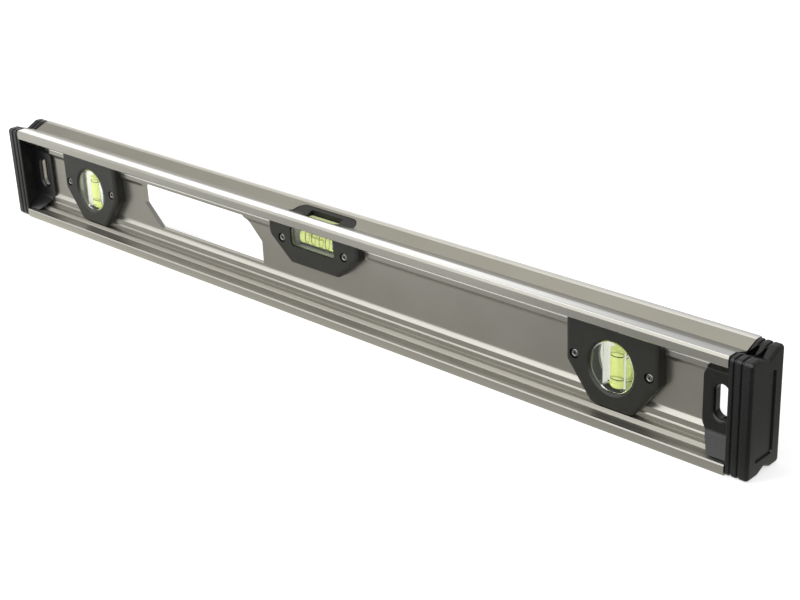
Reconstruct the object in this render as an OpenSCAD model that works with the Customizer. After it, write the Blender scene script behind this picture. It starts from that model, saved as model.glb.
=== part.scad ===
// I-beam spirit level with two plumb vials and one level vial.
// X runs along the beam, Y from the front face to the back face, Z up.
// The origin is under the middle of the beam, on the plane it stands on.

/* [Beam] */
// length of the aluminium beam without the end caps, mm
beam_len = 584; // [570:1:900]
// width of the flanges, front face to back face, mm
beam_w = 30; // [29:0.5:36]
// height of the beam, working face to working face, mm
beam_h = 65; // [64:0.5:72]
// thickness of the web, mm
web_t = 3.2; // [2.6:0.1:3.6]
// width of the chamfer on the four long outer edges, mm
edge_chamfer = 0.8; // [0.4:0.1:1.6]
// height of the chamfer on the four long outer edges, mm
edge_drop = 1.6; // [0.8:0.1:2.4]
// depth of the V groove in the top face, mm
groove_depth = 3.1; // [2:0.1:4]
// depth of the shallow recess in the bottom face, mm
sole_depth = 1.8; // [1:0.1:2.5]

/* [Hand hole] */
// middle of the hand hole, measured from the middle of the beam, mm
hole_x = -110.6; // [-112:0.2:-106]
// length of the hand hole, mm
hole_len = 116.4; // [80:0.2:120]
// height of the hand hole, mm
hole_h = 29.6; // [20:0.2:30]
// corner cut across two opposite corners of the hand hole, mm
hole_cut = 15; // [8:0.5:18]

/* [Vials] */
// distance from each beam end to the plumb vial, mm
end_vial_inset = 72; // [66:0.5:84]
// offset of the level vial from the middle of the beam, mm
centre_vial_x = 1.2; // [-2:0.2:6]
// bore of the vials, mm
vial_bore = 7.6; // [6:0.1:8.4]
// spacing of the two main graduation rings, mm
ring_gap = 12.8; // [10:0.1:14]

/* [Covers] */
// how far the cover plates stand out from the middle plane, mm
cover_out = 9.1; // [8.6:0.1:9.8]
// thickness of the cover plates over the vial, mm
cover_skin = 2.8; // [2:0.1:3.2]
// how far the rounded edge of the covers reaches in from the side, mm
cover_round = 2.8; // [1:0.1:2.9]
// how far the rounded edge of the covers reaches back, mm
cover_fall = 2.2; // [1:0.1:2.8]
// full width of a plumb vial cover, mm
end_cover_w = 57.8; // [56:0.2:62]
// full width of the level vial cover, mm
centre_cover_w = 76.2; // [74:0.2:80]
// width of the plumb vial windows, mm
end_window_w = 30.4; // [26:0.2:31]
// height of the plumb vial windows, mm
end_window_h = 32; // [28:0.2:32.6]
// width of the level vial window, mm
centre_window_w = 37; // [30:0.5:38]

/* [End caps] */
// thickness of each end cap beyond the beam, mm
cap_len = 13; // [12:0.5:18]
// how far the caps lie inside the beam outline, mm
cap_inset = 0.8; // [0.5:0.1:1.2]
// length of the cheek plates on the web, mm
cheek_len = 20.2; // [19:0.2:22]
// thickness of the cheek plates on the web, mm
cheek_t = 2; // [1.9:0.1:2.6]
// depth of the grooves between the cap bands, mm
band_groove = 0.9; // [0.5:0.1:1.2]
// width of the hang slots, mm
slot_w = 7.6; // [6:0.2:8.4]
// height of the hang slots, mm
slot_h = 19; // [14:0.5:20]

/* [Hidden] */
$fn = 48;

// clearance between neighbouring pieces
gap = 0.3;
// small overrun that lets a cut pass its surface
eps = 0.5;
half_w = beam_w / 2;
half_h = beam_h / 2;
half_len = beam_len / 2;
web_y = web_t / 2;

// section of the flanges: heights from the outer face inwards
lip_h = 5.6;
lip_top = 6.3;
tray_h = 6.8;
shelf_low = 9;
shelf_high = 9.5;
root_high = 12.05;
step_low = 13;
step_high = 16.3;
slope_high = 18.35;
web_foot = 19.55;
lip_bevel = 0.5;
tray_y = 8.1;
shelf_y = 6.95;
root_y = web_y + 2.27;
step_y = web_y + 1.77;
slope_y = web_y + 0.35;
groove_front = -8.6;
groove_back = 9.8;
groove_low = 1.2;
groove_flat = 0.5;
sole_edge = 6;
sole_flat = 4.2;

// vials
end_vial_x = half_len - end_vial_inset;
end_vial_rise = 0.5;
end_vial_z = half_h + end_vial_rise;
centre_vial_drop = 15.5;
centre_vial_z = beam_h - centre_vial_drop;
vial_r = vial_bore / 2;
ring_t = 0.3;
ring_w = 0.5;
end_block_w = 14;
end_block_foot = 26;
end_block_h = 30.4;
end_bore_h = 25;
block_y = 9.4;
foot_h = 3;
centre_block_len = 34;
centre_block_h = 12.6;
centre_bore_len = 28;
plug_len = 2;

// openings in the web for the vial blocks
end_cavity_w = 31.2;
end_cavity_h = end_block_h + 2 * gap;
centre_cavity_w = centre_block_len + 2 * gap;
centre_cavity_low = centre_vial_z - centre_block_h / 2 - gap;
cavity_y = block_y + 2 * gap;

// covers
cover_corner = 3;
round_steps = 3;
end_side_corner = 4;
end_cover_drop = 22.4;
end_cover_low = half_h - end_cover_drop;
end_cover_mid = half_h;
end_cover_foot = 11.6;
centre_side_corner = 6;
centre_cover_drop = 33.3;
centre_cover_low = beam_h - centre_cover_drop;
centre_cover_side = 15.4;
centre_cover_mid = beam_h - centre_cover_side;
centre_cover_foot = 19;
cover_top = beam_h - tray_h - gap;
window_rise = 1.6;
window_z = half_h + window_rise;
window_chamfer = 1.2;
end_screw_x = 23.4;
end_screw_rise = 3.2;
end_screw_z = half_h + end_screw_rise;
centre_screw_x = 26.5;
centre_screw_drop = 18.4;
centre_screw_z = beam_h - centre_screw_drop;
screw_d = 2.8;
screw_hole_d = screw_d + 2 * gap;
head_d = 5.2;
head_h = 1.4;
head_sink = 0.5;
sink_d = head_d + 2 * gap;
screw_len = 14;
thread_hold = 5;
centre_window_down = 6;
centre_window_up = 6.4;
centre_window_low = centre_vial_z - centre_window_down;
centre_window_high = centre_vial_z + centre_window_up;
centre_window_corner = 2.4;

// top window over the level vial
top_slot_w = 14;
top_slot_len = 51.8;
top_slot_y = 0.95;
top_window_drop = 0.4;
top_window_low = centre_vial_z + centre_block_h / 2 + gap;
top_view_w = 9.4;
top_view_len = 26.4;

// end caps
cap_y = half_w - cap_inset;
cap_corner = 2.4;
cap_edge = 2;
cap_v_extra = 1;
band_w = 0.9;
band_one = 2.6;
band_two = 6.8;
panel_w = 15.6;
panel_h = 45.6;
panel_drop = 1.4;
panel_corner = 1.6;
panel_depth = 1;
cheek_y = web_y + cheek_t;
cheek_bend = 15.4;
cheek_foot_y = 13.4;
cheek_slant = 13.6;
cheek_turn = 3.4;
cheek_turn_y = 11.6;
collar_t = 0.8;
slot_inset = 10;
slot_x = half_len - slot_inset;
slot_z = half_h;
dish_w = 3;
dish_depth = 0.7;
web_slot_w = slot_w + 2 * (collar_t + gap / 3);
web_slot_h = slot_h + 2 * (collar_t + gap / 3);

// front lower quarter of the beam section, grown by m where other pieces meet it
function quarter(m) = [
  [-half_w + edge_chamfer, 0],
  [-half_w, edge_drop],
  [-half_w, lip_h],
  [-half_w + lip_bevel, lip_top + m],
  [-tray_y - m, tray_h + m],
  [-shelf_y - m, shelf_low + m],
  [-root_y - m, shelf_high + m],
  [-root_y - m, root_high + m],
  [-step_y - m, step_low + m],
  [-step_y - m, step_high + m],
  [-slope_y - m, slope_high + m],
  [-web_y - m, web_foot + m]
];

// a list of points in the opposite order
function reversed(list) = [for (i = [len(list) - 1:-1:0]) list[i]];

// places a section drawn in Y and Z so that it runs along X from x0 to x1
module along_x(x0, x1) {
  translate([x0, 0, 0])
    rotate([90, 0, 90])
      linear_extrude(height = x1 - x0)
        children();
}

// places an outline drawn in X and Z so that it runs along Y from y0 to y1
module along_y(y0, y1) {
  translate([0, y1, 0])
    rotate([90, 0, 0])
      linear_extrude(height = y1 - y0)
        children();
}

module cylinder_y(x, z, d, y0, y1) {
  translate([x, y1, z])
    rotate([90, 0, 0])
      cylinder(d = d, h = y1 - y0);
}

// full I section without the working-face grooves: the quarter mirrored up and back
module i_section(m) {
  q = quarter(m);
  r = reversed(q);
  polygon(concat(
    q,
    [for (p = r) [p[0], beam_h - p[1]]],
    [for (p = q) [-p[0], beam_h - p[1]]],
    [for (p = r) [-p[0], p[1]]]
  ));
}

// V groove of the top face, deeper by d
module v_groove(d) {
  polygon([
    [groove_front - 2 * eps, beam_h + eps],
    [groove_front, beam_h],
    [groove_low - groove_flat, beam_h - groove_depth - d],
    [groove_low + groove_flat, beam_h - groove_depth - d],
    [groove_back, beam_h],
    [groove_back + 2 * eps, beam_h + eps],
    [groove_back, beam_h + beam_w],
    [groove_front, beam_h + beam_w]
  ]);
}

// shallow recess of the bottom face
module sole_recess(d) {
  polygon([
    [-sole_edge, -eps],
    [-sole_edge, 0],
    [-sole_flat, sole_depth + d],
    [sole_flat, sole_depth + d],
    [sole_edge, 0],
    [sole_edge, -eps]
  ]);
}

// upright slot with round ends, used for the hang slots
module slot_y(x, z, w, h, y0, y1) {
  for (s = [-1, 1])
    cylinder_y(x, z + s * (h - w) / 2, w, y0, y1);
  translate([x - w / 2, y0, z - (h - w) / 2])
    cube([w, y1 - y0, h - w]);
}

// slot in plan with round ends, used for the top window
module slot_z(x, y, len, w, z0, z1) {
  for (s = [-1, 1])
    translate([x + s * (len - w) / 2, y, z0])
      cylinder(d = w, h = z1 - z0);
  translate([x - (len - w) / 2, y - w / 2, z0])
    cube([len - w, w, z1 - z0]);
}

// outline of the hand hole: two opposite corners are cut off
module hand_hole() {
  l = hole_len / 2;
  h = hole_h / 2;
  translate([hole_x, 0, half_h + 2.4])
    along_y(-half_w, half_w)
      polygon([
        [-l, h],
        [-l, h - hole_cut],
        [-l + hole_cut, -h],
        [l, -h],
        [l, -h + hole_cut],
        [l - hole_cut, h]
      ]);
}

module end_cavity(x) {
  translate([x - end_cavity_w / 2, -cavity_y / 2, end_vial_z - end_cavity_h / 2])
    cube([end_cavity_w, cavity_y, end_cavity_h]);
}

module centre_cavity(top) {
  translate([centre_vial_x - centre_cavity_w / 2, -cavity_y / 2, centre_cavity_low])
    cube([centre_cavity_w, cavity_y, top - centre_cavity_low]);
}

module beam() {
  color([0.62, 0.6, 0.57])
    difference() {
      along_x(-half_len, half_len)
        difference() {
          i_section(0);
          v_groove(0);
          sole_recess(0);
        }
      hand_hole();
      end_cavity(-end_vial_x);
      end_cavity(end_vial_x);
      centre_cavity(top_window_low + eps);
      slot_z(centre_vial_x, top_slot_y, top_slot_len, top_slot_w, top_window_low, beam_h + eps);
      for (s = [-1, 1]) {
        slot_y(s * slot_x, slot_z, web_slot_w, web_slot_h, -half_w, half_w);
        for (e = [-1, 1])
          cylinder_y(e * end_vial_x + s * end_screw_x, end_screw_z, screw_hole_d, -half_w, half_w);
        cylinder_y(centre_vial_x + s * centre_screw_x, centre_screw_z, screw_hole_d, -half_w, half_w);
      }
    }
}

// ring of space round the cap section, used to cut the grooves between the bands
module cap_section(m) {
  y = cap_y - m;
  difference() {
    union() {
      translate([-y + cap_corner, cap_inset + m])
        square([2 * (y - cap_corner), beam_h - 2 * (cap_inset + m)]);
      translate([-y, cap_inset + m + cap_corner])
        square([2 * y, beam_h - 2 * (cap_inset + m + cap_corner)]);
      for (s = [-1, 1])
        for (z = [cap_inset + m + cap_corner, beam_h - cap_inset - m - cap_corner])
          translate([s * (y - cap_corner), z])
            circle(r = cap_corner);
    }
    v_groove(cap_v_extra + m);
    sole_recess(cap_v_extra + m);
  }
}

// cap seen from the side: the outer edges are rounded over
module cap_side(half) {
  x = half_len;
  translate([x, -half])
    square([cap_len - cap_edge, 2 * half]);
  translate([x, -half + cap_edge])
    square([cap_len, 2 * (half - cap_edge)]);
  for (s = [-1, 1])
    translate([x + cap_len - cap_edge, s * (half - cap_edge)])
      circle(r = cap_edge);
}

// slot with sloping sides: wide at y0 and dish_w narrower all round at y1
module dish(x, z, y0, y1) {
  r = slot_w / 2;
  translate([x, y0, z])
    rotate([-90, 0, 0]) {
      for (s = [-1, 1])
        translate([0, s * (slot_h - slot_w) / 2, 0])
          cylinder(r1 = r + dish_w, r2 = r, h = y1 - y0);
      translate([0, (slot_h - slot_w) / 2, 0])
        rotate([90, 0, 0])
          linear_extrude(height = slot_h - slot_w)
            polygon([[-r - dish_w, 0], [r + dish_w, 0], [r, y1 - y0], [-r, y1 - y0]]);
    }
}

// cheek plates that lie on both sides of the web and flare out over the flange roots;
// a collar on each plate snaps into the web and lines the hang slot
module cheeks() {
  x = half_len - cheek_len;
  turn_x = x + cheek_slant * (cheek_turn_y - cheek_y) / (half_w - cheek_y);
  difference() {
    union() {
      along_x(x, half_len + eps)
        difference() {
          polygon([
            [-cheek_foot_y, tray_h + gap],
            [-cheek_y, cheek_bend],
            [-cheek_y, beam_h - cheek_bend],
            [-cheek_foot_y, beam_h - tray_h - gap],
            [cheek_foot_y, beam_h - tray_h - gap],
            [cheek_y, beam_h - cheek_bend],
            [cheek_y, cheek_bend],
            [cheek_foot_y, tray_h + gap]
          ]);
          i_section(gap / 3);
        }
      for (back = [0, 1])
        mirror([0, back, 0])
          slot_y(slot_x, slot_z, slot_w + 2 * collar_t, slot_h + 2 * collar_t, -web_y - eps, -gap / 2);
    }
    for (back = [0, 1])
      mirror([0, back, 0])
        linear_extrude(height = beam_h)
          polygon([
            [x - eps, -cheek_y],
            [x + eps, -cheek_y],
            [turn_x, -cheek_turn_y],
            [x + cheek_slant + cheek_turn, -half_w - eps],
            [x - eps, -half_w - eps]
          ]);
    slot_y(slot_x, slot_z, slot_w, slot_h, -half_w, half_w);
    for (back = [0, 1])
      mirror([0, back, 0])
        translate([0, -eps / 2, 0])
          dish(slot_x, slot_z, -cheek_y, -cheek_y + dish_depth + eps / 2);
  }
}

// outline of the recessed panel in the end face, corners cut off
module panel() {
  w = panel_w / 2;
  h = panel_h / 2;
  k = panel_corner;
  translate([0, half_h - panel_drop])
    polygon([
      [-w, k - h], [k - w, -h], [w - k, -h], [w, k - h],
      [w, h - k], [w - k, h], [k - w, h], [-w, h - k]
    ]);
}

module end_cap() {
  difference() {
    intersection() {
      along_x(half_len, half_len + cap_len)
        cap_section(0);
      rotate([90, 0, 0])
        translate([0, 0, -half_w])
          linear_extrude(height = beam_w)
            translate([0, half_h])
              cap_side(half_h - cap_inset);
      linear_extrude(height = beam_h)
        cap_side(cap_y);
    }
    for (b = [band_one, band_two])
      along_x(half_len + b, half_len + b + band_w)
        difference() {
          translate([-beam_w, -eps])
            square([2 * beam_w, beam_h + 2 * eps]);
          cap_section(band_groove);
        }
    along_x(half_len + cap_len - panel_depth, half_len + cap_len + eps)
      panel();
  }
  cheeks();
}

module left_end_cap() {
  color([0.16, 0.16, 0.17])
    mirror([1, 0, 0])
      end_cap();
}

module right_end_cap() {
  color([0.16, 0.16, 0.17])
    end_cap();
}

// cover blank in front of the web with a rounded front edge: w wide, foot wide at its lower edge
module cover_blank(w, foot, low, mid, side_corner) {
  c = cover_corner;
  hull()
    for (i = [0:round_steps]) {
      in = cover_round * (1 - cos(90 * i / round_steps));
      out = cover_out - cover_fall * (1 - sin(90 * i / round_steps));
      for (s = [-1, 1])
        for (p = [[w / 2 - c, cover_top - c, c], [w / 2 - side_corner, mid, side_corner], [foot, low + c, c]])
          cylinder_y(s * p[0], p[1], 2 * (p[2] - in), -out, -web_y - gap / 3);
    }
}

module end_cover_body() {
  difference() {
    cover_blank(end_cover_w, end_cover_foot, end_cover_low, end_cover_mid, end_side_corner);
    along_x(-end_cover_w, end_cover_w)
      i_section(gap / 3);
    translate([0, 0, window_z])
      scale([1, 1, end_window_h / end_window_w]) {
        cylinder_y(0, 0, end_window_w - 2 * window_chamfer, -half_w, 0);
        translate([0, -cover_out, 0])
          rotate([-90, 0, 0])
            cylinder(d1 = end_window_w, d2 = end_window_w - 2 * window_chamfer, h = window_chamfer);
      }
    translate([-end_cavity_w / 2, -cover_out + cover_skin, end_vial_z - end_cavity_h / 2])
      cube([end_cavity_w, cover_out, end_cavity_h]);
  }
}

// side is 1 for the front cover and -1 for the rear one, which is mirrored into place
module centre_cover_body(side) {
  difference() {
    cover_blank(centre_cover_w, centre_cover_foot, centre_cover_low, centre_cover_mid, centre_side_corner);
    along_x(-centre_cover_w, centre_cover_w)
      i_section(gap / 3);
    along_y(-half_w, 0)
      centre_window_outline();
    translate([-centre_cavity_w / 2, -cover_out + cover_skin, centre_cavity_low])
      cube([centre_cavity_w, cover_out, beam_h]);
    slot_z(0, side * top_slot_y, top_slot_len, top_slot_w, top_window_low, beam_h);
  }
}

module centre_window_outline() {
  r = centre_window_corner;
  w = centre_window_w / 2;
  lo = centre_window_low;
  hi = centre_window_high;
  translate([-w + r, lo])
    square([2 * (w - r), hi - lo]);
  translate([-w, lo + r])
    square([2 * w, hi - lo - 2 * r]);
  for (s = [-1, 1])
    for (z = [lo + r, hi - r])
      translate([s * (w - r), z])
        circle(r = r);
}

// screw holes and head recesses of a front cover
module front_screw_holes(x, z) {
  for (s = [-1, 1]) {
    cylinder_y(s * x, z, screw_hole_d, -half_w, 0);
    cylinder_y(s * x, z, sink_d, -half_w, -cover_out + head_h + head_sink);
  }
}

// blind holes of a rear cover, drawn on the front side and mirrored with the cover
module rear_screw_holes(x, z) {
  for (s = [-1, 1])
    cylinder_y(s * x, z, screw_hole_d, -web_y - thread_hold, 0);
}

module front_end_cover() {
  color([0.15, 0.15, 0.16])
    difference() {
      end_cover_body();
      front_screw_holes(end_screw_x, end_screw_z);
    }
}

module rear_end_cover() {
  color([0.15, 0.15, 0.16])
    mirror([0, 1, 0])
      difference() {
        end_cover_body();
        rear_screw_holes(end_screw_x, end_screw_z);
      }
}

module left_front_cover() {
  translate([-end_vial_x, 0, 0])
    front_end_cover();
}

module left_rear_cover() {
  translate([-end_vial_x, 0, 0])
    rear_end_cover();
}

module right_front_cover() {
  translate([end_vial_x, 0, 0])
    front_end_cover();
}

module right_rear_cover() {
  translate([end_vial_x, 0, 0])
    rear_end_cover();
}

module centre_front_cover() {
  color([0.15, 0.15, 0.16])
    translate([centre_vial_x, 0, 0])
      difference() {
        centre_cover_body(1);
        front_screw_holes(centre_screw_x, centre_screw_z);
      }
}

module centre_rear_cover() {
  color([0.15, 0.15, 0.16])
    translate([centre_vial_x, 0, 0])
      mirror([0, 1, 0])
        difference() {
          centre_cover_body(-1);
          rear_screw_holes(centre_screw_x, centre_screw_z);
        }
}

// clear block of a plumb vial: upright shank between two feet, bored from the top
module end_vial_block() {
  low = end_vial_z - end_block_h / 2;
  color([0.85, 0.9, 0.86, 0.5])
    difference() {
      union() {
        translate([-end_block_w / 2, -block_y / 2, low])
          cube([end_block_w, block_y, end_block_h]);
        for (z = [low, low + end_block_h - foot_h])
          translate([-end_block_foot / 2, -block_y / 2, z])
            cube([end_block_foot, block_y, foot_h]);
      }
      translate([0, 0, low + end_block_h - end_bore_h - plug_len])
        cylinder(d = vial_bore, h = end_bore_h + plug_len + eps);
    }
}

module left_vial_block() {
  translate([-end_vial_x, 0, 0])
    end_vial_block();
}

module right_vial_block() {
  translate([end_vial_x, 0, 0])
    end_vial_block();
}

// clear block of the level vial, bored from one end
module centre_vial_block() {
  color([0.85, 0.9, 0.86, 0.5])
    translate([centre_vial_x, 0, centre_vial_z])
      difference() {
        translate([-centre_block_len / 2, -block_y / 2, -centre_block_h / 2])
          cube([centre_block_len, block_y, centre_block_h]);
        translate([-centre_bore_len / 2, 0, 0])
          rotate([0, 90, 0])
            cylinder(d = vial_bore, h = centre_block_len);
      }
}

// liquid of a plumb vial: the bubble rests under the plug
module end_vial_liquid() {
  low = end_vial_z + end_block_h / 2 - end_bore_h - plug_len;
  level = end_bore_h - 2.2;
  color([0.8, 0.86, 0.25, 0.6])
    difference() {
      translate([0, 0, low])
        cylinder(r = vial_r - ring_t, h = level);
      translate([0, 0, low + level + 1.4])
        sphere(r = 3);
    }
}

module left_vial_liquid() {
  translate([-end_vial_x, 0, 0])
    end_vial_liquid();
}

module right_vial_liquid() {
  translate([end_vial_x, 0, 0])
    end_vial_liquid();
}

// liquid of the level vial: the bubble lies along the top of the bore
module centre_vial_liquid() {
  bubble_r = 1.9;
  bubble_len = 7;
  color([0.8, 0.86, 0.25, 0.6])
    translate([centre_vial_x, 0, centre_vial_z])
      difference() {
        translate([-centre_bore_len / 2, 0, 0])
          rotate([0, 90, 0])
            cylinder(r = vial_r - ring_t, h = centre_bore_len);
        translate([0, 0, vial_r - ring_t - bubble_r + 0.1]) {
          translate([-bubble_len / 2, 0, 0])
            rotate([0, 90, 0])
              cylinder(r = bubble_r, h = bubble_len);
          for (s = [-1, 1])
            translate([s * bubble_len / 2, 0, 0])
              sphere(r = bubble_r);
        }
      }
}

// one graduation ring lying on the wall of the bore, axis along Z
module ring() {
  difference() {
    cylinder(r = vial_r, h = ring_w);
    translate([0, 0, -eps])
      cylinder(r = vial_r - ring_t, h = ring_w + 2 * eps);
  }
}

module end_vial_rings() {
  color([0.1, 0.12, 0.08])
    for (s = [-1, 1])
      translate([0, 0, end_vial_z + s * ring_gap / 2 - ring_w / 2])
        ring();
}

module left_vial_rings() {
  translate([-end_vial_x, 0, 0])
    end_vial_rings();
}

module right_vial_rings() {
  translate([end_vial_x, 0, 0])
    end_vial_rings();
}

// four rings: the outer pair marks the slope, the inner pair is level
module centre_vial_rings() {
  color([0.1, 0.12, 0.08])
    translate([centre_vial_x, 0, centre_vial_z])
      for (s = [-1, 1])
        for (x = [ring_gap / 4, ring_gap / 2 + 2])
          translate([s * x - ring_w / 2, 0, 0])
            rotate([0, 90, 0])
              ring();
}

module end_vial_plug() {
  color([0.8, 0.82, 0.78])
    translate([0, 0, end_vial_z + end_block_h / 2 - plug_len])
      cylinder(d = vial_bore, h = plug_len);
}

module left_vial_plug() {
  translate([-end_vial_x, 0, 0])
    end_vial_plug();
}

module right_vial_plug() {
  translate([end_vial_x, 0, 0])
    end_vial_plug();
}

module centre_vial_plug() {
  color([0.8, 0.82, 0.78])
    translate([centre_vial_x + centre_bore_len / 2, 0, centre_vial_z])
      rotate([0, 90, 0])
        cylinder(d = vial_bore, h = (centre_block_len - centre_bore_len) / 2);
}

// dark insert in the V groove with the view opening over the level vial
module top_window() {
  color([0.17, 0.17, 0.18])
    difference() {
      intersection() {
        slot_z(centre_vial_x, top_slot_y, top_slot_len - 2 * gap, top_slot_w - 2 * gap,
          top_window_low + gap, beam_h);
        along_x(centre_vial_x - top_slot_len, centre_vial_x + top_slot_len)
          difference() {
            translate([-half_w, 0])
              square([beam_w, beam_h]);
            v_groove(top_window_drop);
          }
      }
      translate([centre_vial_x - top_view_len / 2, top_slot_y - top_view_w / 2, 0])
        cube([top_view_len, top_view_w, beam_h + eps]);
    }
}

// one cover screw: head in the recess, shank through the web into the rear cover
module cover_screw(x, z) {
  top = -cover_out + head_sink;
  cylinder_y(x, z, head_d, top, top + head_h);
  cylinder_y(x, z, screw_d, top, top + screw_len);
}

module cover_screws(x, z) {
  color([0.7, 0.7, 0.7])
    for (s = [-1, 1])
      cover_screw(s * x, z);
}

module left_cover_screws() {
  translate([-end_vial_x, 0, 0])
    cover_screws(end_screw_x, end_screw_z);
}

module right_cover_screws() {
  translate([end_vial_x, 0, 0])
    cover_screws(end_screw_x, end_screw_z);
}

module centre_cover_screws() {
  translate([centre_vial_x, 0, 0])
    cover_screws(centre_screw_x, centre_screw_z);
}

beam();
left_end_cap();
right_end_cap();
left_front_cover();
left_rear_cover();
centre_front_cover();
centre_rear_cover();
right_front_cover();
right_rear_cover();
left_vial_block();
centre_vial_block();
right_vial_block();
left_vial_liquid();
centre_vial_liquid();
right_vial_liquid();
left_vial_rings();
centre_vial_rings();
right_vial_rings();
left_vial_plug();
centre_vial_plug();
right_vial_plug();
top_window();
left_cover_screws();
centre_cover_screws();
right_cover_screws();
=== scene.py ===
import math

import bmesh
import bpy
from mathutils import Matrix, Vector


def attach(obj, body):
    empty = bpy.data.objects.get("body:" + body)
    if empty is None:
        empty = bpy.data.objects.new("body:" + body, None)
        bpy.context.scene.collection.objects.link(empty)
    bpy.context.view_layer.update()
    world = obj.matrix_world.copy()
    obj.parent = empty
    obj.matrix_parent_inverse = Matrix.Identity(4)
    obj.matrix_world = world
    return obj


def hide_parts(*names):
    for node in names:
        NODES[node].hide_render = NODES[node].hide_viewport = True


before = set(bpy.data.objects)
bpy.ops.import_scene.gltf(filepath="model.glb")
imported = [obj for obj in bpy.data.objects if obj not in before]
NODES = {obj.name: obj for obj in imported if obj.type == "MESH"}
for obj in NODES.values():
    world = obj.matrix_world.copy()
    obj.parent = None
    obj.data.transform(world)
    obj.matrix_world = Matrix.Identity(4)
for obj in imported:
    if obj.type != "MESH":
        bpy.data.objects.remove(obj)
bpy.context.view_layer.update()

MM = 0.001

# Sizes shared with the source. All sizes of shapes are in millimetres.
BEAM_H = 65.0
WEB_Y = 1.6
GAP = 0.3
VIAL_R = 3.8
BLOCK_Y = 9.4
FOOT_H = 3.0
COVER_OUT = 9.1
COVER_ROUND = 2.8
COVER_FALL = 2.2
# The lower front quarter of the beam's section, in Y and Z.
SECTION = [
    (-14.2, 0.0), (-15.0, 1.6), (-15.0, 5.6), (-14.5, 6.3), (-8.1, 6.8), (-6.95, 9.0),
    (-3.87, 9.5), (-3.87, 12.05), (-3.37, 13.0), (-3.37, 16.3), (-1.95, 18.35), (-1.6, 19.55),
]
END_UNITS = {"left": -220.0, "right": 220.0}
CENTRE_X = 1.2
END_SCREW = (23.4, 35.7)
CENTRE_SCREW = (26.5, 46.6)
END_VIAL_Z = 33.0
CENTRE_VIAL_Z = 49.5
END_BLOCK_HALF_H = 15.2

# Cover outlines: whole width, half width and height of the foot, height and radius of the widest
# corner, and how much wider the foot's radius is than the top's.
END_COVER = {"w": 57.8, "foot": 11.6, "low": 10.1, "mid": 32.5, "side": 4.0, "wider": 2.4}
CENTRE_COVER = {"w": 76.2, "foot": 19.0, "low": 31.7, "mid": 49.6, "side": 6.0, "wider": 0.4}
COVER_TOP = 57.9
COVER_CORNER = 3.0
# The hollow behind a cover's face, which takes the vial block: its wall, and how far it reaches
# past the web's middle, in Y.
HOLLOW_FRONT = 6.3
HOLLOW_BACK = 3.0
END_HOLLOW = {"half_w": 15.6, "low": 17.5, "high": 48.5}
CENTRE_HOLLOW = {"half_w": 17.3, "low": 42.9, "high": 70.0}
WINDOW_Z = 34.1
END_WINDOW = {"w": 30.4, "h": 32.0}
CENTRE_WINDOW = {"half_w": 18.5, "low": 43.5, "high": 55.9, "r": 2.4, "back": 1.0}
TOP_SLOT = {"y": 0.95, "length": 51.8, "width": 14.0, "low": 56.1, "high": 70.0}
SINK_R = 2.9
SINK_DEPTH = 1.9
SCREW_HOLE_R = 1.7
BLIND_DEPTH = 6.6
# How far cuts reach in Y, past every piece, and half the length of the seat cut along the beam.
FAR = 20.0
SEAT_HALF = 60.0

# Screws: how far they are sunk under the cover's face, and radius and depth from there to the tip.
HEAD_SINK = 0.5
SCREW_PROFILE = [
    (0.0, 0.3), (1.35, 0.3), (1.6, 0.08), (1.85, 0.06), (2.15, 0.22), (2.35, 0.6), (2.4, 1.0), (2.4, 1.4),
    (1.4, 1.4), (1.4, 13.5), (1.1, 13.9), (0.0, 13.9),
]
STAR_POINTS = 6
STAR_R = (0.72, 1.25)
# The socket's cut, from above the head down to its bottom.
STAR_Y = (-1.0, 1.25)

# Vial blocks and what they hold.
FOOT_HALF_W = 13
SHANK_HALF_W = 7
PAD_ROOT = 4.2
PAD_FACE = 8.3
OVAL_PAD = {"rx": 13.8, "rz": 14.5}
# Layers of an oval pad: growth of its outline and distance from the web's middle.
OVAL_LAYERS = [(0.0, PAD_ROOT), (0.0, 7.7), (-0.25, 8.1), (-0.8, PAD_FACE)]
CENTRE_BLOCK = {"half_w": 17, "half_h": 6.3}
CENTRE_PAD = {"half_w": 18.2, "low": 43.8, "high": 55.3, "r": 2.2}
TOP_PAD = {"half_w": 12.8, "front": -3.4, "back": 4.65, "low": 55.0, "high": 60.0}
LIQUID_R = VIAL_R - 0.02
LIQUID_END = 1.6
END_VIAL_LEN = 27.0
# Distances along the vial of the points on the liquid's wall.
END_WALL = (12, 21.6)
CENTRE_VIAL_START = -14
CENTRE_WALL = (14, 27.9)
# The hollow of an end vial's bubble: how far in from the wall, and how high in the vial.
BUBBLE_HOLLOW = [(0.25, 21.5), (0.9, 21.0), (2.0, 20.6)]
BUBBLE_HOLLOW_TOP = 20.4
# The centre vial's bubble: radius, length of a round end, where the second one starts, and its place.
BUBBLE = {"r": 1.75, "end": 2.6, "last": 8.4, "start": -5.5, "rise": 1.95}

# End caps. Bands and profile run along X from the beam's end.
CAP_X = 292.0
CAP_EDGE = 2.0
BANDS = [(0.0, 2.6), (3.5, 6.8), (7.7, 13.0)]
BAND_DEPTH = 0.9
BAND_ROUND = 0.75
# Corners of the cap's section in Y and Z with their radii.
CAP_CORNERS = [
    (-14.4, 0.2, 2.4), (-4.6, 0.2, 2.2), (1.2, 2.8, 1.6), (7.0, 0.2, 2.2), (14.9, 0.2, 2.6),
    (14.9, 64.8, 2.4), (9.2, 64.8, 1.8), (1.2, 60.9, 2.2), (-7.2, 64.4, 1.8), (-14.4, 64.4, 2.4),
]
PANEL = {"half_w": 7.8, "half_h": 22.8, "z": 31.1, "r": 1.4}
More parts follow.
